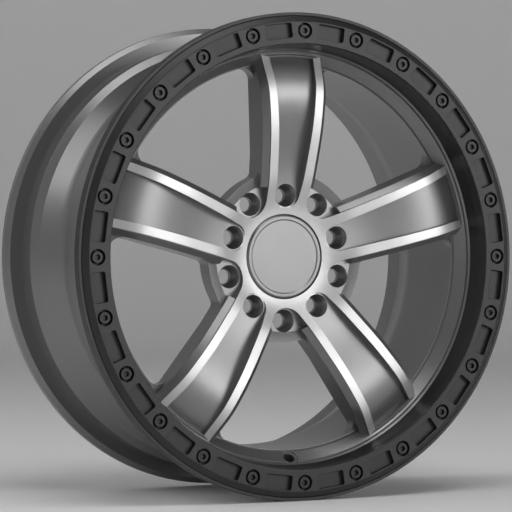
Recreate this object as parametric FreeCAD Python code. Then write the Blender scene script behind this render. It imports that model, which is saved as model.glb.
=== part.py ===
import FreeCAD, Part
import math
import os

# Beadlock-style wheel for a light truck: one aluminium casting, a bolted outer ring and a snap-in cap.
# Frame: +Z up, the wheel turns about Y, its face looks towards -Y, origin at the wheel's centre.
# Depths are measured backwards from the front face of the outer ring.

# Rim
OVERALL_WIDTH = 206.5
FRONT_FLANGE_RADIUS = 238.0
REAR_FLANGE_RADIUS = 235.6
BEAD_SEAT_RADIUS = 218.3
SAFETY_HUMP = 1.0
HUMP_SLOPE_WIDTH = 2.0
FRONT_HUMP_WIDTH = 3.0
FRONT_SEAT_END_DEPTH = 46.0
FRONT_FLANGE_CHAMFER = 4.0
WELL_RADIUS = 199.5
WELL_START_DEPTH = 60.0
WELL_END_DEPTH = 134.0
WELL_FRONT_ROUND = 6.0
WELL_REAR_ROUND = 30.0
BARREL_INSIDE_RADIUS = 190.5
BARREL_RAMP_LEAD = 6.0
DISC_RING_FACE_DEPTH = 26.2
REAR_INSIDE_RADIUS = 204.5
REAR_SEAT_WIDTH = 22.0
RAMP_STEP_HEIGHT = 6.0
RAMP_STEP_WIDTH = 6.0
REAR_FLANGE_WIDTH = 14.0
REAR_FLANGE_LIP = 4.0
REAR_FLANGE_BEVEL_HEIGHT = 5.0
REAR_FLANGE_BEVEL_WIDTH = 4.0
REAR_LIP_BEVEL = 6.0
REAR_MOUTH_BEVEL = 8.0
REAR_MOUTH_ROUND = 3.0
LIP_RADIUS = 204.5
LIP_DEPTH = 28.0
LIP_SLOPE_DEPTH = 2.0
LEDGE_DEPTH = 10.0
LEDGE_WIDTH = 9.0
LEDGE_DROP = 0.6
LEDGE_CORNER = 3.0
GROOVE_WIDTH = 1.6
GROOVE_DEPTH = 1.8

# Outer ring and its bolts
RING_INNER_RADIUS = 206.7
RING_OUTER_RADIUS = 234.8
RING_FACE_RADIUS = 229.0
RING_THICKNESS = 12.0
RING_EDGE_DEPTH = 4.0
RING_EDGE_ROUND = 2.0
RING_INNER_ROUND = 1.2
RING_NEST_CLEARANCE = 0.2
FLANGE_LIP_DEPTH = 4.5
FRONT_FLANGE_WIDTH = 18.0
BOLT_COUNT = 24
BOLT_CIRCLE_RADIUS = 220.0
BOLT_HEAD_RADIUS = 5.9
BOLT_HEAD_HEIGHT = 5.6
BOLT_HEAD_CHAMFER = 0.6
BOLT_SHANK_RADIUS = 2.9
BOLT_LENGTH = 11.0
BOLT_HOLE_CLEARANCE = 0.2
BOLT_END_GAP = 1.0
BOLT_SOCKET_SIDES = 6
BOLT_SOCKET_RADIUS = 2.9
BOLT_SOCKET_DEPTH = 3.0
COUNTERBORE_RADIUS = 7.7
COUNTERBORE_DEPTH = 6.0
POCKET_LENGTH = 29.0
POCKET_WIDTH = 14.4
POCKET_DEPTH = 5.0
POCKET_CORNER = 2.0

# Turned front surface of the spokes: radius and depth
FACE_PROFILE = [(42.0, 43.5), (60.0, 37.5), (76.0, 30.4), (92.0, 26.0), (124.0, 19.0),
                (154.0, 16.9), (168.0, 18.0), (182.0, 22.8), (201.0, 30.6)]
# Painted floor of the spoke pockets: radius and depth
FLOOR_PROFILE = [(44.0, 42.0), (60.0, 41.5), (92.0, 38.0), (130.0, 29.5), (160.0, 25.2),
                 (178.0, 27.4), (200.0, 36.0)]

# Spokes and hub
SPOKE_COUNT = 5
SPOKE_HALF_WIDTH = 18.5
SPOKE_FLARE = 0.072
SHOULDER_WIDTH = 6.0
SHOULDER_DROP = 1.5
SHOULDER_CHAMFER = 5.4
SHOULDER_START_RADIUS = 68.0
SHOULDER_END_GAP = 3.0
SHOULDER_HEIGHT = 18.0
BODY_DROP = 14.0
BACK_DEPTH_AT_RIM = 50.0
BACK_STRAIGHT_RADIUS = 130.0
POCKET_HALF_WIDTH = 8.3
POCKET_FLARE = 0.082
POCKET_START_RADIUS = 48.6
POCKET_START_ROUND = 11.0
POCKET_END_RADIUS = 197.0
HUB_RADIUS = 84.5
HUB_FACE_DEPTH = 61.5
PAD_DEPTH = 45.0
HUB_LAYER_GAP = 4.0
HUB_FILLET = 17.4
WINDOW_RIM_FILLET = 11.0
WINDOW_HUB_FILLET = 7.0

# Lug holes: one circle in the spokes, one between them
LUG_CIRCLE_IN_SPOKES = 120.65
LUG_CIRCLE_BETWEEN = 127.0
LUG_WELL_RADIUS = 11.3
LUG_HOLE_RADIUS = 7.25
LUG_SEAT_DEPTH = 49.5
LUG_SEAT_HALF_ANGLE = 30.0

# Hub bore, cap and its spring ring
HUB_BORE_RADIUS = 39.05
CAP_RADIUS = 41.8
CAP_CLEARANCE = 0.3
CAP_SEAT_DEPTH = 49.0
CAP_PROUD = 1.0
CAP_BEVEL = 2.2
CAP_DISC_RADIUS = 36.8
CAP_DISC_STEP = 0.8
CAP_DISC_SLOPE = 1.0
CAP_WALL = 2.4
CAP_SKIRT_CLEARANCE = 0.6
CAP_SKIRT_LENGTH = 6.6
CAP_BARB = 1.1
CAP_BARB_HEIGHT = 2.4
CAP_BARB_STEP = 0.4
CAP_GROOVE_START = 3.4
CAP_GROOVE_WIDTH = 3.4
CAP_GROOVE_STEP = 1.3
CAP_FINGER_COUNT = 8
CAP_SLOT_WIDTH = 5.0
SPRING_THICKNESS = 1.6
SPRING_WIDTH = 2.2
SPRING_DEPTH_IN_SKIRT = 3.6
SPRING_GAP_DEGREES = 24.0

# Valve hole through the ledge under the bottom window
VALVE_HOLE_RADIUS = 5.75
VALVE_SPOTFACE_RADIUS = 9.0
VALVE_SPOTFACE_DEPTH = 1.5
VALVE_CENTRE_RADIUS = 197.0

AXIS_START = FreeCAD.Vector(0, 0, 0)
AXIS = FreeCAD.Vector(0, 1, 0)
INSIDE_BORE = 25.0
FAR = 20.0
OVERLAP = 0.5


def row_y(depth):
    """Depth behind the ring's front face, as a Y coordinate."""
    return depth - OVERALL_WIDTH / 2


def profile_point(radius, depth):
    """A point of a turned profile."""
    return FreeCAD.Vector(radius, row_y(depth), 0)


def turned(edges):
    """The solid that a closed profile makes round the wheel's axis."""
    return Part.Face(Part.Wire(edges)).revolve(AXIS_START, AXIS, 360)


def polyline(points):
    """Straight edges through points, in order."""
    return [Part.makeLine(a, b) for a, b in zip(points, points[1:])]


def rounded_profile(corners):
    """Closed outline with rounded corners: each corner is a radius, a depth and a rounding."""
    points = [profile_point(radius, depth) for radius, depth, _ in corners]
    starts = []
    ends = []
    middles = []
    for i, point in enumerate(points):
        rounding = corners[i][2]
        to_last = (points[i - 1] - point).normalize()
        to_next = (points[(i + 1) % len(points)] - point).normalize()
        half_angle = to_last.getAngle(to_next) / 2
        reach = rounding / math.tan(half_angle)
        inward = (to_last + to_next).normalize()
        starts.append(point + to_last * reach)
        ends.append(point + to_next * reach)
        middles.append(point + inward * (rounding / math.sin(half_angle) - rounding))
    edges = []
    for i, corner in enumerate(corners):
        if corner[2] > 0:
            edges.append(Part.Arc(starts[i], middles[i], ends[i]).toShape())
        edges.append(Part.makeLine(ends[i], starts[(i + 1) % len(corners)]))
    return edges


def profile_curve(profile, offset):
    """Smooth curve through profile points, set back by an offset."""
    curve = Part.BSplineCurve()
    curve.interpolate([profile_point(radius, depth + offset) for radius, depth in profile])
    return curve.toShape()


def between_curve_and_line(profile, offset, back_points):
    """Turned solid behind a smooth front curve and in front of a straight-sided back."""
    first_radius, first_depth = profile[0]
    last_radius, last_depth = profile[-1]
    inner = profile_point(INSIDE_BORE, first_depth + offset)
    outline = [profile_point(last_radius, last_depth + offset)]
    outline += [profile_point(radius, depth) for radius, depth in back_points]
    outline += [inner, profile_point(first_radius, first_depth + offset)]
    return turned([profile_curve(profile, offset)] + polyline(outline))


def prism(points, front_depth, back_depth):
    """Straight prism along the axis: points are X and Z pairs."""
    corners = [FreeCAD.Vector(x, row_y(front_depth), z) for x, z in points]
    face = Part.Face(Part.makePolygon(corners + corners[:1]))
    return face.extrude(FreeCAD.Vector(0, back_depth - front_depth, 0))


def cylinder(radius, front_depth, back_depth, x=0.0, z=0.0):
    """Cylinder along the axis."""
    base = FreeCAD.Vector(x, row_y(front_depth), z)
    return Part.makeCylinder(radius, back_depth - front_depth, base, AXIS)


def cone(front_radius, back_radius, front_depth, back_depth, x=0.0, z=0.0):
    """Cone along the axis."""
    base = FreeCAD.Vector(x, row_y(front_depth), z)
    return Part.makeCone(front_radius, back_radius, back_depth - front_depth, base, AXIS)


def turn(shape, degrees):
    """Copy of a shape, turned round the axis."""
    copy = shape.copy()
    copy.rotate(AXIS_START, AXIS, degrees)
    return copy


def around(shape, count):
    """Evenly spaced copies round the axis."""
    return [turn(shape, 360.0 * k / count) for k in range(count)]


def axis_edges(shape):
    """Edges that run along the wheel's axis."""
    flat = 0.001
    return [e for e in shape.Edges if e.BoundBox.XLength < flat and e.BoundBox.ZLength < flat]


def edge_radius(edge):
    """Distance of an edge's middle from the axis."""
    return math.hypot(edge.CenterOfMass.x, edge.CenterOfMass.z)


def wedge(half_width, flare, start, end, front_depth, back_depth):
    """Tapered bar that points up from the axis."""
    near = half_width + flare * start
    far = half_width + flare * end
    points = [(-near, start), (near, start), (far, end), (-far, end)]
    return prism(points, front_depth, back_depth)


def gap_solid(half_width, inner_radius, outer_radius, front_depth, back_depth):
    """Space between two neighbouring spokes, below the axis."""
    space = cylinder(outer_radius, front_depth, back_depth)
    if inner_radius > 0:
        space = space.cut(cylinder(inner_radius, front_depth, back_depth))
    bar = wedge(half_width, SPOKE_FLARE, 0.0, outer_radius + FAR, front_depth, back_depth)
    space = space.cut(around(bar, SPOKE_COUNT))
    return min(space.Solids, key=lambda solid: solid.CenterOfMass.z)


LEDGE_RADIUS = LIP_RADIUS - 2 * GROOVE_WIDTH
LEDGE_END_RADIUS = LEDGE_RADIUS - LEDGE_WIDTH
LEDGE_END_DEPTH = LIP_DEPTH + LEDGE_DEPTH
RING_BACK_DEPTH = RING_THICKNESS
FACE_OUTER_RADIUS = FACE_PROFILE[-1][0]


def rim():
    """Barrel with both flanges, the ring's seat and the ledge inside the lip."""
    seat_radius = RING_OUTER_RADIUS + RING_NEST_CLEARANCE
    rear = OVERALL_WIDTH
    rear_seat_end = rear - REAR_FLANGE_WIDTH
    rear_seat_start = rear_seat_end - REAR_SEAT_WIDTH
    hump_radius = BEAD_SEAT_RADIUS + SAFETY_HUMP
    hump_depth = rear_seat_start - HUMP_SLOPE_WIDTH
    outside = [
        (FRONT_FLANGE_RADIUS, FLANGE_LIP_DEPTH, 0.0),
        (FRONT_FLANGE_RADIUS, FRONT_FLANGE_WIDTH - FRONT_FLANGE_CHAMFER, 0.0),
        (FRONT_FLANGE_RADIUS - FRONT_FLANGE_CHAMFER, FRONT_FLANGE_WIDTH, 0.0),
        (BEAD_SEAT_RADIUS, FRONT_FLANGE_WIDTH, 0.0),
        (BEAD_SEAT_RADIUS, FRONT_SEAT_END_DEPTH, 0.0),
        (hump_radius, FRONT_SEAT_END_DEPTH + FRONT_HUMP_WIDTH, 0.0),
        (WELL_RADIUS, WELL_START_DEPTH, WELL_FRONT_ROUND),
        (WELL_RADIUS, WELL_END_DEPTH, WELL_REAR_ROUND),
        (BEAD_SEAT_RADIUS - RAMP_STEP_HEIGHT, hump_depth - RAMP_STEP_WIDTH, 0.0),
        (hump_radius, hump_depth, 0.0),
        (BEAD_SEAT_RADIUS, rear_seat_start + HUMP_SLOPE_WIDTH, 0.0),
        (BEAD_SEAT_RADIUS, rear_seat_end, 0.0),
        (REAR_FLANGE_RADIUS - REAR_FLANGE_BEVEL_HEIGHT, rear_seat_end, 0.0),
        (REAR_FLANGE_RADIUS, rear_seat_end + REAR_FLANGE_BEVEL_WIDTH, 0.0),
        (REAR_FLANGE_RADIUS, rear - REAR_FLANGE_LIP, 0.0),
        (REAR_FLANGE_RADIUS - REAR_LIP_BEVEL, rear, 0.0),
    ]
    inside = [
        (REAR_INSIDE_RADIUS + REAR_MOUTH_BEVEL, rear, REAR_MOUTH_ROUND),
        (REAR_INSIDE_RADIUS, rear_seat_end, 0.0),
        (REAR_INSIDE_RADIUS, rear_seat_start, 0.0),
        (BARREL_INSIDE_RADIUS, WELL_END_DEPTH - BARREL_RAMP_LEAD, WELL_REAR_ROUND),
        (BARREL_INSIDE_RADIUS, LEDGE_END_DEPTH + LEDGE_CORNER, 0.0),
        (LEDGE_END_RADIUS, LEDGE_END_DEPTH, 0.0),
        (LEDGE_RADIUS, LIP_DEPTH + LEDGE_DROP, 0.0),
        (LEDGE_RADIUS + GROOVE_WIDTH / 2, LIP_DEPTH + GROOVE_DEPTH, 0.0),
        (LEDGE_RADIUS + GROOVE_WIDTH, LIP_DEPTH, 0.0),
        (LIP_RADIUS, LIP_DEPTH - LIP_SLOPE_DEPTH, 0.0),
        (RING_INNER_RADIUS, RING_BACK_DEPTH, 0.0),
        (seat_radius, RING_BACK_DEPTH, 0.0),
        (seat_radius, FLANGE_LIP_DEPTH, 0.0),
    ]
    return turned(rounded_profile(outside + inside))


def rib_layer():
    """Turned front of the hub and spokes, with the spaces between the spokes cut to their outlines."""
    back = [(FACE_OUTER_RADIUS, HUB_FACE_DEPTH - FAR), (HUB_RADIUS, HUB_FACE_DEPTH - HUB_LAYER_GAP),
            (INSIDE_BORE, HUB_FACE_DEPTH - HUB_LAYER_GAP)]
    layer = between_curve_and_line(FACE_PROFILE, 0.0, back)
    gap = gap_solid(SPOKE_HALF_WIDTH, 0.0, FACE_OUTER_RADIUS + FAR, -FAR, HUB_FACE_DEPTH)
    inner = min(axis_edges(gap), key=edge_radius)
    gap = gap.makeFillet(HUB_FILLET, [inner])
    return layer.cut(around(gap, SPOKE_COUNT))


def spoke_shoulder():
    """Bevelled flank that stands outside the ribs, following the turned front."""
    back = [(FACE_OUTER_RADIUS, FACE_PROFILE[-1][1] + SHOULDER_HEIGHT),
            (HUB_RADIUS, HUB_FACE_DEPTH - HUB_LAYER_GAP), (INSIDE_BORE, HUB_FACE_DEPTH - HUB_LAYER_GAP)]
    layer = between_curve_and_line(FACE_PROFILE, SHOULDER_DROP, back)
    bar = wedge(SPOKE_HALF_WIDTH + SHOULDER_WIDTH, SPOKE_FLARE, SHOULDER_START_RADIUS,
                FACE_OUTER_RADIUS - SHOULDER_END_GAP, -FAR, HUB_FACE_DEPTH)
    flank = layer.common(bar)
    long_edges = sorted(flank.Edges, key=lambda e: e.Length)[-4:]
    front_edges = sorted(long_edges, key=lambda e: e.CenterOfMass.y)[:2]
    return flank.makeChamfer(SHOULDER_CHAMFER, front_edges)


def spoke_bodies():
    """Back of the disc, with the five windows and their rounded corners."""
    profile = [point for point in FACE_PROFILE if point[0] < BARREL_INSIDE_RADIUS]
    profile.append((BARREL_INSIDE_RADIUS + OVERLAP, DISC_RING_FACE_DEPTH))
    back = [(BARREL_INSIDE_RADIUS + OVERLAP, BACK_DEPTH_AT_RIM), (BACK_STRAIGHT_RADIUS, BACK_DEPTH_AT_RIM),
            (HUB_RADIUS, HUB_FACE_DEPTH), (INSIDE_BORE, HUB_FACE_DEPTH)]
    layer = between_curve_and_line(profile, BODY_DROP, back)
    window = gap_solid(SPOKE_HALF_WIDTH + SHOULDER_WIDTH, HUB_RADIUS, BARREL_INSIDE_RADIUS,
                       -FAR, HUB_FACE_DEPTH + FAR)
    edges = sorted(axis_edges(window), key=edge_radius)
    window = window.makeFillet(WINDOW_RIM_FILLET, edges[2:])
    edges = sorted(axis_edges(window), key=edge_radius)
    window = window.makeFillet(WINDOW_HUB_FILLET, edges[:2])
    plate = layer.fuse(cylinder(HUB_RADIUS, PAD_DEPTH, HUB_FACE_DEPTH))
    return plate.cut(around(window, SPOKE_COUNT))


def spoke_pocket():
    """Space of the painted pocket in one spoke, down to its curved floor."""
    front = [(FLOOR_PROFILE[-1][0], -FAR), (INSIDE_BORE, -FAR)]
    space = between_curve_and_line(FLOOR_PROFILE, 0.0, front)
    bar = wedge(POCKET_HALF_WIDTH, POCKET_FLARE, POCKET_START_RADIUS, FACE_OUTER_RADIUS + FAR,
                -FAR, HUB_FACE_DEPTH)
    inner = sorted(axis_edges(bar), key=edge_radius)[:2]
    bar = bar.makeFillet(POCKET_START_ROUND, inner)
    return space.common(bar).common(cylinder(POCKET_END_RADIUS, -FAR, HUB_FACE_DEPTH))


def lug_hole(circle):
    """Socket well, conical seat and stud hole of one lug nut, above the axis."""
    height = circle / 2
    seat_height = (LUG_WELL_RADIUS - LUG_HOLE_RADIUS) / math.tan(math.radians(LUG_SEAT_HALF_ANGLE))
    well = cylinder(LUG_WELL_RADIUS, -FAR, LUG_SEAT_DEPTH, 0.0, height)
    seat = cone(LUG_WELL_RADIUS, LUG_HOLE_RADIUS, LUG_SEAT_DEPTH, LUG_SEAT_DEPTH + seat_height, 0.0, height)
    hole = cylinder(LUG_HOLE_RADIUS, LUG_SEAT_DEPTH, HUB_FACE_DEPTH + FAR, 0.0, height)
    return well.fuse([seat, hole])


def hub_bore():
    """Cap seat, hub bore and the groove that the cap's fingers snap into."""
    seat = cylinder(CAP_RADIUS + CAP_CLEARANCE, -FAR, CAP_SEAT_DEPTH)
    bore = cylinder(HUB_BORE_RADIUS, -FAR, HUB_FACE_DEPTH + FAR)
    groove_start = CAP_SEAT_DEPTH + CAP_GROOVE_START
    groove = cylinder(HUB_BORE_RADIUS + CAP_GROOVE_STEP, groove_start, groove_start + CAP_GROOVE_WIDTH)
    return seat.fuse([bore, groove])


def valve_hole():
    """Hole for the valve, square to the ledge, with a flat round its front."""
    ledge_slope = math.atan2(LEDGE_DEPTH, LEDGE_WIDTH)
    centre_depth = LIP_DEPTH + (LEDGE_RADIUS - VALVE_CENTRE_RADIUS) * LEDGE_DEPTH / LEDGE_WIDTH
    centre = FreeCAD.Vector(0, row_y(centre_depth), -VALVE_CENTRE_RADIUS)
    inward = FreeCAD.Vector(0, math.cos(ledge_slope), -math.sin(ledge_slope))
    hole = Part.makeCylinder(VALVE_HOLE_RADIUS, 3 * FAR, centre - inward * FAR, inward)
    spotface_length = FAR + VALVE_SPOTFACE_DEPTH
    spotface = Part.makeCylinder(VALVE_SPOTFACE_RADIUS, spotface_length, centre - inward * FAR, inward)
    return hole.fuse(spotface)


def bolt_places():
    """Centres of the ring's bolts, one of them at the top."""
    angles = [2 * math.pi * k / BOLT_COUNT for k in range(BOLT_COUNT)]
    return [(BOLT_CIRCLE_RADIUS * math.sin(a), BOLT_CIRCLE_RADIUS * math.cos(a)) for a in angles]


def bolt_spaces():
    """Counterbores and shank holes of the ring's bolts, through the ring and into the casting."""
    hole_radius = BOLT_SHANK_RADIUS + BOLT_HOLE_CLEARANCE
    hole_end = COUNTERBORE_DEPTH + BOLT_LENGTH + BOLT_END_GAP
    spaces = []
    for x, z in bolt_places():
        spaces.append(cylinder(COUNTERBORE_RADIUS, -FAR, COUNTERBORE_DEPTH, x, z))
        spaces.append(cylinder(hole_radius, 0.0, hole_end, x, z))
    return spaces


def casting():
    """Whole wheel casting."""
    flanks = around(spoke_shoulder(), SPOKE_COUNT)
    body = rim().fuse([rib_layer(), spoke_bodies()] + flanks).removeSplitter()
    half_step = 180.0 / SPOKE_COUNT
    in_spokes = around(lug_hole(LUG_CIRCLE_IN_SPOKES), SPOKE_COUNT)
    between = around(turn(lug_hole(LUG_CIRCLE_BETWEEN), half_step), SPOKE_COUNT)
    cuts = around(spoke_pocket(), SPOKE_COUNT) + in_spokes + between + bolt_spaces()
    return body.cut(cuts + [hub_bore(), valve_hole()]).removeSplitter()


def ring_pocket():
    """One shallow rounded pocket in the ring's face, above the axis."""
    inner = BOLT_CIRCLE_RADIUS - POCKET_WIDTH / 2
    half = POCKET_LENGTH / 2
    points = [(-half, inner), (half, inner), (half, inner + POCKET_WIDTH), (-half, inner + POCKET_WIDTH)]
    pocket = prism(points, -FAR, POCKET_DEPTH)
    return pocket.makeFillet(POCKET_CORNER, axis_edges(pocket))


def beadlock_ring():
    """Outer ring with its pockets and counterbored bolt holes."""
    ring = turned(rounded_profile([
        (RING_INNER_RADIUS, 0.0, RING_INNER_ROUND),
        (RING_FACE_RADIUS, 0.0, RING_EDGE_ROUND),
        (RING_OUTER_RADIUS, RING_EDGE_DEPTH, RING_EDGE_ROUND),
        (RING_OUTER_RADIUS, RING_BACK_DEPTH, 0.0),
        (RING_INNER_RADIUS, RING_BACK_DEPTH, 0.0),
    ]))
    pockets = around(turn(ring_pocket(), 180.0 / BOLT_COUNT), BOLT_COUNT)
    return ring.cut(pockets + bolt_spaces())


def ring_bolt(x, z):
    """Socket-head bolt that holds the ring."""
    head_start = COUNTERBORE_DEPTH - BOLT_HEAD_HEIGHT
    head = cylinder(BOLT_HEAD_RADIUS, head_start, COUNTERBORE_DEPTH, x, z)
    front_rim = min(head.Edges, key=lambda e: e.CenterOfMass.y)
    head = head.makeChamfer(BOLT_HEAD_CHAMFER, [front_rim])
    shank = cylinder(BOLT_SHANK_RADIUS, COUNTERBORE_DEPTH, COUNTERBORE_DEPTH + BOLT_LENGTH, x, z)
    corners = [2 * math.pi * k / BOLT_SOCKET_SIDES for k in range(BOLT_SOCKET_SIDES)]
    points = [(x + BOLT_SOCKET_RADIUS * math.cos(a), z + BOLT_SOCKET_RADIUS * math.sin(a)) for a in corners]
    socket = prism(points, -FAR, head_start + BOLT_SOCKET_DEPTH)
    return head.fuse(shank).cut(socket)


SKIRT_OUTER_RADIUS = HUB_BORE_RADIUS - CAP_SKIRT_CLEARANCE
SKIRT_INNER_RADIUS = SKIRT_OUTER_RADIUS - CAP_WALL


def center_cap():
    """Plain cap with a sunk disc, a bevelled edge and a skirt of snap fingers."""
    front = FACE_PROFILE[0][1] - CAP_PROUD
    barb_start = CAP_SEAT_DEPTH + CAP_GROOVE_START + CAP_BARB_STEP
    skirt_end = CAP_SEAT_DEPTH + CAP_SKIRT_LENGTH
    disc = turned(polyline([profile_point(radius, depth) for radius, depth in [
        (0.0, front + CAP_DISC_STEP), (CAP_DISC_RADIUS - CAP_DISC_SLOPE, front + CAP_DISC_STEP),
        (CAP_DISC_RADIUS, front), (CAP_RADIUS - CAP_BEVEL, front), (CAP_RADIUS, front + CAP_BEVEL),
        (CAP_RADIUS, CAP_SEAT_DEPTH), (SKIRT_INNER_RADIUS, CAP_SEAT_DEPTH),
        (SKIRT_INNER_RADIUS, front + CAP_DISC_STEP + CAP_WALL), (0.0, front + CAP_DISC_STEP + CAP_WALL),
        (0.0, front + CAP_DISC_STEP)]]))
    skirt = turned(polyline([profile_point(radius, depth) for radius, depth in [
        (SKIRT_INNER_RADIUS, CAP_SEAT_DEPTH), (SKIRT_OUTER_RADIUS, CAP_SEAT_DEPTH),
        (SKIRT_OUTER_RADIUS, barb_start), (SKIRT_OUTER_RADIUS + CAP_BARB, barb_start + CAP_BARB_STEP),
        (SKIRT_OUTER_RADIUS, barb_start + CAP_BARB_HEIGHT), (SKIRT_OUTER_RADIUS, skirt_end),
        (SKIRT_INNER_RADIUS, skirt_end), (SKIRT_INNER_RADIUS, CAP_SEAT_DEPTH)]]))
    half = CAP_SLOT_WIDTH / 2
    slot = prism([(-half, 0.0), (half, 0.0), (half, CAP_RADIUS), (-half, CAP_RADIUS)],
                 CAP_SEAT_DEPTH, skirt_end + FAR)
    fingers = skirt.cut(around(slot, CAP_FINGER_COUNT))
    return disc.fuse(fingers).removeSplitter()


def cap_retaining_ring():
    """Open spring ring that presses the cap's fingers outwards."""
    inner = SKIRT_INNER_RADIUS - SPRING_THICKNESS
    front = CAP_SEAT_DEPTH + SPRING_DEPTH_IN_SKIRT
    points = [(inner, front), (SKIRT_INNER_RADIUS, front), (SKIRT_INNER_RADIUS, front + SPRING_WIDTH),
              (inner, front + SPRING_WIDTH), (inner, front)]
    section = Part.Face(Part.makePolygon([profile_point(radius, depth) for radius, depth in points]))
    ring = section.revolve(AXIS_START, AXIS, 360.0 - SPRING_GAP_DEGREES)
    return turn(ring, SPRING_GAP_DEGREES / 2)


def save(name, shape):
    """Write one piece to its own file."""
    shape.exportStep(os.path.join("parts", name + ".step"))


def main():
    os.makedirs("parts", exist_ok=True)
    save("wheel_casting", casting())
    save("beadlock_ring", beadlock_ring())
    save("ring_bolts", Part.makeCompound([ring_bolt(x, z) for x, z in bolt_places()]))
    save("center_cap", center_cap())
    save("cap_retaining_ring", cap_retaining_ring())


main()
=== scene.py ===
import math

import bpy
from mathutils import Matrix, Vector


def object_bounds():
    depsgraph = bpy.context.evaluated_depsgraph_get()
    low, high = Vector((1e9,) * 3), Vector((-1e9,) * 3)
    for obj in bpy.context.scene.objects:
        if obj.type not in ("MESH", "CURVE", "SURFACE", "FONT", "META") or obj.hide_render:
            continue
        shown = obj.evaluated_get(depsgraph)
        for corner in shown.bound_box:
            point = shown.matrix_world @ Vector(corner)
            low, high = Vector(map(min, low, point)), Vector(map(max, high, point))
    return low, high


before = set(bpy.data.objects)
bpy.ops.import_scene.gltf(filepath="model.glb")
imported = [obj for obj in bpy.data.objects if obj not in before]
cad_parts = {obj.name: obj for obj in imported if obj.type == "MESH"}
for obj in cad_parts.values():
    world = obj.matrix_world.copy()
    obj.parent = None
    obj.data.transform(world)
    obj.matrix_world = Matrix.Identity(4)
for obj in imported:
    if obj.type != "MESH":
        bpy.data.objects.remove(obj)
cad_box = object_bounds()

# Sizes in metres, in the frame of the wheel: it turns about Y and its face looks towards -Y
FRONT = cad_box[0][1]
FLOOR_Z = cad_box[0][2]

# Turned front surface: radius and depth behind the ring's front face
FACE_PROFILE = [(0.042, 0.0435), (0.060, 0.0375), (0.076, 0.0304), (0.092, 0.0260), (0.124, 0.0190),
                (0.154, 0.0169), (0.168, 0.0180), (0.182, 0.0228), (0.201, 0.0306)]
FACE_START_RADIUS = FACE_PROFILE[0][0]
FACE_TOLERANCE = 0.0010
MACHINED_END_RADIUS = 0.1975

# Turned seat at the back of the hub, and the hub bore
HUB_FACE_DEPTH = 0.0615
HUB_FACE_RADIUS = 0.0845
HUB_FACE_TOLERANCE = 0.0005
BORE_RADIUS = 0.0390
BORE_TOLERANCE = 0.0022
BORE_START_DEPTH = 0.0485

# Black finish of the lip inside the ring and of the flange's edge around it
LIP_BLACK_DEPTH = 0.0262
LIP_BLACK_RADIUS = 0.2040
FLANGE_BLACK_DEPTH = 0.0125
FLANGE_BLACK_RADIUS = 0.2345

# How far a face looks forward: 1 is straight to the front and -1 straight to the back
FACE_LEAST_FORWARD = 0.5
HUB_FACE_MOST_FORWARD = -0.9
LIP_LEAST_FORWARD = -0.1

# Slots of the casting's finishes
PAINT, MACHINED, BLACK = range(3)

# Sockets of the colour mix node, whose names occur more than once
MIX_FACTOR, MIX_A, MIX_B, MIX_RESULT = 0, 6, 7, 2
EDGE_SAMPLES = 6

# Soft boxes: name, place, width, height and power in watts, all aimed at one point
LAMPS = [("key_front", (1.75, -3.5, 0.20), 2.9, 2.0, 70.0),
         ("left", (-2.1, 0.45, 1.9), 1.8, 1.8, 20.0),
         ("top", (-0.2, -1.2, 2.6), 2.0, 1.4, 28.0)]
LAMP_TARGET = (0.0, 0.0, 0.0)
WORLD_GREY = 0.8
WORLD_STRENGTH = 0.05

# Camera: the photograph's angle in radians, distance and framing
CAMERA_YAW = 0.49213
CAMERA_ELEVATION = 0.00426
CAMERA_DISTANCE = 2.60677
CAMERA_FOCAL_PIXELS = 2674.86
IMAGE_WIDTH_PIXELS = 512
SENSOR_WIDTH_MM = 36.0
AIM_RIGHT = -0.0458
AIM_UP = 0.0007
FLANGE_PLANE_DEPTH = 0.0045


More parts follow.
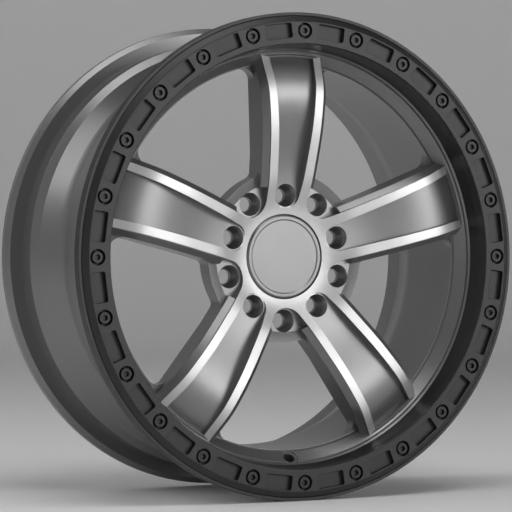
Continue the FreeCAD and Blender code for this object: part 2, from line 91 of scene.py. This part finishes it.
class Shader:
    """Small helper that adds nodes to one material."""

    def __init__(self, name):
        self.material = bpy.data.materials.new(name)
        self.material.use_nodes = True
        self.tree = self.material.node_tree
        self.bsdf = self.tree.nodes["Principled BSDF"]

    def add(self, kind, inputs=None, **settings):
        """New node: inputs are numbers, colours or other nodes' outputs."""
        node = self.tree.nodes.new(kind)
        for name, value in settings.items():
            setattr(node, name, value)
        for socket, value in (inputs or {}).items():
            self.put(node.inputs[socket], value)
        return node

    def put(self, socket, value):
        """Link an output, or set a plain value."""
        if isinstance(value, bpy.types.NodeSocket):
            self.tree.links.new(value, socket)
        else:
            socket.default_value = value

    def math(self, operation, a, b):
        """Sum, product or the like of two values."""
        return self.add("ShaderNodeMath", {0: a, 1: b}, operation=operation).outputs[0]

    def position(self):
        """Position in the wheel's frame."""
        return self.add("ShaderNodeTexCoord").outputs["Object"]

    def radius(self):
        """Distance from the wheel's axis."""
        across_axis = (1.0, 0.0, 1.0)
        inputs = {0: self.position(), 1: across_axis}
        flat = self.add("ShaderNodeVectorMath", inputs, operation="MULTIPLY").outputs[0]
        return self.add("ShaderNodeVectorMath", {0: flat}, operation="LENGTH").outputs["Value"]

    def noise(self, scale, detail):
        """Cloudy pattern from 0 to 1."""
        inputs = {"Vector": self.position(), "Scale": scale, "Detail": detail}
        return self.add("ShaderNodeTexNoise", inputs).outputs["Fac"]

    def rings(self, scale, detail):
        """Uneven rings about the wheel's axis, from 0 to 1."""
        inputs = {"W": self.math("MULTIPLY", self.radius(), scale), "Detail": detail}
        return self.add("ShaderNodeTexNoise", inputs, noise_dimensions="1D").outputs["Fac"]

    def spread(self, value, low, high):
        """Stretch a 0 to 1 value over a new range."""
        return self.add("ShaderNodeMapRange", {"Value": value, "To Min": low, "To Max": high}).outputs[0]

    def uneven(self, level, broad, broad_range, fine, fine_range):
        """A level that varies with a broad and a fine pattern."""
        slow = self.spread(broad, level - broad_range, level + broad_range)
        return self.math("ADD", slow, self.spread(fine, -fine_range, fine_range))

    def soft_edges(self, radius):
        """Normal that rounds sharp edges."""
        return self.add("ShaderNodeBevel", {"Radius": radius}, samples=EDGE_SAMPLES).outputs[0]

    def bump(self, height, distance, strength, normal):
        """Normal with a fine relief added to it."""
        inputs = {"Height": height, "Distance": distance, "Strength": strength, "Normal": normal}
        return self.add("ShaderNodeBump", inputs).outputs[0]

    def mix_colour(self, factor, a, b):
        """Colour between two others."""
        inputs = {MIX_FACTOR: factor, MIX_A: a, MIX_B: b}
        return self.add("ShaderNodeMix", inputs, data_type="RGBA").outputs[MIX_RESULT]

    def finish(self, **inputs):
        """Set the surface's own sockets."""
        for name, value in inputs.items():
            self.put(self.bsdf.inputs[name.replace("_", " ")], value)
        return self.material


def grey(value):
    """Neutral opaque colour."""
    return (value, value, value, 1.0)


def metallic_paint(name, dark, light, roughness):
    """Gunmetal paint: fine flakes under a satin clear coat, with slight orange peel."""
    s = Shader(name)
    flakes = s.noise(scale=5200.0, detail=1.0)
    mottle = s.noise(scale=38.0, detail=3.0)
    orange_peel = s.noise(scale=900.0, detail=2.0)
    colour = s.mix_colour(s.spread(flakes, low=0.1, high=0.9), grey(dark), grey(light))
    rough = s.uneven(roughness, mottle, broad_range=0.03, fine=flakes, fine_range=0.03)
    normal = s.bump(orange_peel, distance=0.00004, strength=0.35, normal=s.soft_edges(radius=0.0007))
    return s.finish(Base_Color=colour, Roughness=rough, Normal=normal, Metallic=0.75,
                    Coat_Weight=0.25, Coat_Roughness=0.22)


def machined_metal():
    """Bright turned aluminium: fine rings left by the cutting tool, which draw highlights out radially."""
    s = Shader("machined_aluminium")
    cut = s.rings(scale=2600.0, detail=3.0)
    broad = s.rings(scale=420.0, detail=2.0)
    colour = s.mix_colour(broad, grey(0.56), grey(0.66))
    rough = s.spread(cut, low=0.32, high=0.46)
    normal = s.bump(cut, distance=0.00006, strength=0.35, normal=s.soft_edges(radius=0.0005))
    tangent = s.add("ShaderNodeTangent", direction_type="RADIAL", axis="Y").outputs[0]
    return s.finish(Base_Color=colour, Roughness=rough, Normal=normal, Tangent=tangent, Metallic=1.0,
                    Anisotropic=0.65, Anisotropic_Rotation=0.25)


def satin_black():
    """Satin black powder coat with a fine grain."""
    s = Shader("ring_satin_black")
    grain = s.noise(scale=2600.0, detail=2.0)
    mottle = s.noise(scale=30.0, detail=3.0)
    colour = s.mix_colour(mottle, grey(0.0119), grey(0.0168))
    rough = s.uneven(0.42, mottle, broad_range=0.04, fine=grain, fine_range=0.03)
    normal = s.bump(grain, distance=0.00005, strength=0.3, normal=s.soft_edges(radius=0.0007))
    return s.finish(Base_Color=colour, Roughness=rough, Normal=normal, Specular_IOR_Level=0.5)


def black_steel():
    """Black-oxide bolt steel with a fine grain."""
    s = Shader("black_oxide_steel")
    mottle = s.noise(scale=700.0, detail=3.0)
    grain = s.noise(scale=3500.0, detail=2.0)
    colour = s.mix_colour(mottle, grey(0.022), grey(0.045))
    rough = s.spread(mottle, low=0.32, high=0.46)
    normal = s.bump(grain, distance=0.00004, strength=0.3, normal=s.soft_edges(radius=0.0004))
    return s.finish(Base_Color=colour, Roughness=rough, Normal=normal, Metallic=0.6)


def spring_metal():
    """Bright spring steel with a fine mottle."""
    s = Shader("spring_steel")
    mottle = s.noise(scale=1500.0, detail=3.0)
    colour = s.mix_colour(mottle, grey(0.38), grey(0.5))
    rough = s.spread(mottle, low=0.25, high=0.4)
    normal = s.bump(mottle, distance=0.00003, strength=0.3, normal=s.soft_edges(radius=0.0003))
    return s.finish(Base_Color=colour, Roughness=rough, Normal=normal, Metallic=1.0)


def face_slope(k):
    """Slope of the turned surface at one of its points."""
    first = max(k - 1, 0)
    last = min(k + 1, len(FACE_PROFILE) - 1)
    spans = []
    slopes = []
    for (r1, d1), (r2, d2) in zip(FACE_PROFILE[first:last], FACE_PROFILE[first + 1:last + 1]):
        spans.append(r2 - r1)
        slopes.append((d2 - d1) / (r2 - r1))
    return sum(slope * span for slope, span in zip(slopes, reversed(spans))) / sum(spans)


def face_depth(radius):
    """Depth of the turned surface at a radius, by a smooth curve through its points."""
    i = max(k for k, point in enumerate(FACE_PROFILE[:-1]) if k == 0 or point[0] <= radius)
    (r1, d1), (r2, d2) = FACE_PROFILE[i], FACE_PROFILE[i + 1]
    span = r2 - r1
    t = (radius - r1) / span
    start = (2 * t ** 3 - 3 * t ** 2 + 1) * d1 + (t ** 3 - 2 * t ** 2 + t) * span * face_slope(i)
    end = (3 * t ** 2 - 2 * t ** 3) * d2 + (t ** 3 - t ** 2) * span * face_slope(i + 1)
    return start + end


def casting_finish(polygon):
    """Which finish one face of the casting has."""
    centre = polygon.center
    radius = math.hypot(centre.x, centre.z)
    depth = centre.y - FRONT
    forward = -polygon.normal.y
    if FACE_START_RADIUS < radius < MACHINED_END_RADIUS and forward > FACE_LEAST_FORWARD:
        if abs(depth - face_depth(radius)) < FACE_TOLERANCE:
            return MACHINED
    at_hub_face = abs(depth - HUB_FACE_DEPTH) < HUB_FACE_TOLERANCE and radius < HUB_FACE_RADIUS
    on_hub_face = at_hub_face and forward < HUB_FACE_MOST_FORWARD
    in_bore = abs(radius - BORE_RADIUS) < BORE_TOLERANCE and depth > BORE_START_DEPTH
    if on_hub_face or in_bore:
        return MACHINED
    at_lip = LIP_BLACK_RADIUS < radius < FLANGE_BLACK_RADIUS and depth < LIP_BLACK_DEPTH
    on_lip = at_lip and forward > LIP_LEAST_FORWARD
    on_flange_edge = radius > FLANGE_BLACK_RADIUS and depth < FLANGE_BLACK_DEPTH
    if on_lip or on_flange_edge:
        return BLACK
    return PAINT


def dress(node, *materials):
    """Give a solid its finishes."""
    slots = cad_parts[node].data.materials
    slots.clear()
    for material in materials:
        slots.append(material)


def dress_nodes():
    """Give every solid its finishes, and each face of the casting its own."""
    paint = metallic_paint("gunmetal_paint", dark=0.17, light=0.31, roughness=0.34)
    black = satin_black()
    dress("wheel_casting", paint, machined_metal(), black)
    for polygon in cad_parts["wheel_casting"].data.polygons:
        polygon.material_index = casting_finish(polygon)
    dress("beadlock_ring", black)
    dress("ring_bolts", black_steel())
    dress("center_cap", metallic_paint("cap_paint", dark=0.17, light=0.30, roughness=0.34))
    dress("cap_retaining_ring", spring_metal())


def stage_outline(stage_radius, bend, top_z):
    """Radius and height of the floor's edge, its bend and the wall's top."""
    bend_steps = 12
    outline = []
    for k in range(bend_steps + 1):
        angle = math.pi / 2 * k / bend_steps
        radius = stage_radius - bend + bend * math.sin(angle)
        outline.append((radius, FLOOR_Z + bend - bend * math.cos(angle)))
    outline.append((stage_radius, top_z))
    return outline


def add_stage():
    """Round pale floor that curves up into a wall all the way round."""
    outline = stage_outline(stage_radius=4.5, bend=1.2, top_z=3.5)
    sides = 96
    turns = [2 * math.pi * k / sides for k in range(sides)]
    vertices = [(radius * math.cos(t), radius * math.sin(t), z) for radius, z in outline for t in turns]
    faces = [tuple(range(sides))]
    for row in range(len(outline) - 1):
        for k in range(sides):
            start = row * sides + k
            beside = row * sides + (k + 1) % sides
            faces.append((start, start + sides, beside + sides, beside))
    mesh = bpy.data.meshes.new("studio_floor")
    mesh.from_pydata(vertices, [], faces)
    for polygon in mesh.polygons:
        polygon.use_smooth = True
    floor = bpy.data.objects.new("studio_floor", mesh)
    bpy.context.scene.collection.objects.link(floor)
    s = Shader("studio_floor")
    mesh.materials.append(s.finish(Base_Color=grey(0.92), Roughness=0.85, Specular_IOR_Level=0.2))


def look_at(thing, place, target):
    """Put a lamp or camera in its place, turned towards a point."""
    thing.location = place
    thing.rotation_euler = (Vector(target) - Vector(place)).to_track_quat("-Z", "Y").to_euler()
    bpy.context.scene.collection.objects.link(thing)


def add_lights():
    """Soft boxes, and a faint even light from all around."""
    for name, place, width, height, power in LAMPS:
        light = bpy.data.lights.new(name, "AREA")
        light.shape = "RECTANGLE"
        light.size = width
        light.size_y = height
        light.energy = power
        look_at(bpy.data.objects.new(name, light), place, LAMP_TARGET)
    world = bpy.data.worlds.new("studio")
    world.use_nodes = True
    background = world.node_tree.nodes["Background"]
    background.inputs["Color"].default_value = grey(WORLD_GREY)
    background.inputs["Strength"].default_value = WORLD_STRENGTH
    bpy.context.scene.world = world


def add_camera():
    """Camera at the photograph's viewing angle."""
    plane = Vector((0.0, FRONT + FLANGE_PLANE_DEPTH, 0.0))
    sideways = math.sin(CAMERA_YAW)
    ahead = math.cos(CAMERA_YAW)
    level = math.cos(CAMERA_ELEVATION)
    away = Vector((-sideways * level, -ahead * level, math.sin(CAMERA_ELEVATION)))
    right = Vector((ahead, -sideways, 0.0))
    data = bpy.data.cameras.new("camera")
    data.sensor_width = SENSOR_WIDTH_MM
    data.lens = CAMERA_FOCAL_PIXELS / IMAGE_WIDTH_PIXELS * SENSOR_WIDTH_MM
    camera = bpy.data.objects.new("camera", data)
    eye = plane + away * CAMERA_DISTANCE
    look_at(camera, eye, plane + right * AIM_RIGHT + Vector((0.0, 0.0, AIM_UP)))
    bpy.context.scene.camera = camera


dress_nodes()
add_stage()
add_lights()
add_camera()
bpy.context.scene.view_settings.view_transform = "Standard"
